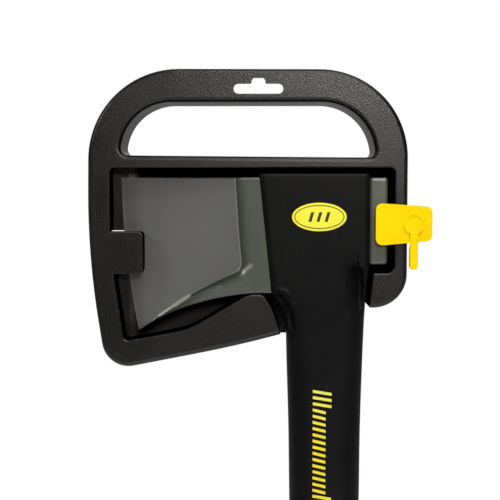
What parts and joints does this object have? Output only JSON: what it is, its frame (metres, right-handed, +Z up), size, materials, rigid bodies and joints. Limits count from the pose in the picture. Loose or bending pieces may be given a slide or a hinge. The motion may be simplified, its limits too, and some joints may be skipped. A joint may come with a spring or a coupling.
{
  "type": "axe in blade cover",
  "caption": "Long-handled felling and splitting axe, its grey head locked in a black moulded carrying cover by a yellow turn latch.",
  "frame": {"origin": "the point of the hang slot that a hook bears on, at the middle of the cover's front skin", "axes": "+X from the cutting edge to the poll, +Y from the cover's open front to its back, +Z up along the handle towards the hang slot"},
  "size_m": [0.2228, 0.0407, 0.7676],
  "materials": {
    "head_steel": "satin grey coating on forged steel",
    "handle_nylon": "fine spark texture, glass-filled nylon",
    "grip_rubber": "soft matt elastomer with a moulded pattern",
    "cover_plastic": "fine textured polypropylene",
    "latch_plastic": "smooth semi-gloss yellow",
    "badge_yellow": "printed yellow with black figures",
    "retainer_steel": "zinc-plated spring steel"
  },
  "bodies": {
    "axe_and_cover": {"cover_frame": "cover_plastic", "axe_head": "head_steel", "handle_shell": "handle_nylon", "grip_sleeve": "grip_rubber", "end_knob": "handle_nylon", "badge_front": "badge_yellow", "badge_rear": "badge_yellow"},
    "latch": {"latch_plate": "latch_plastic", "latch_pin": "latch_plastic", "latch_retainer": "retainer_steel"}
  },
  "joints": [
    {"name": "latch_turn", "type": "hinge", "parent": "axe_and_cover", "child": "latch", "pos_m": [0.1001, 0, -0.0942], "axis": [0, -1, 0], "range_deg": [0, 180]}
  ]
}
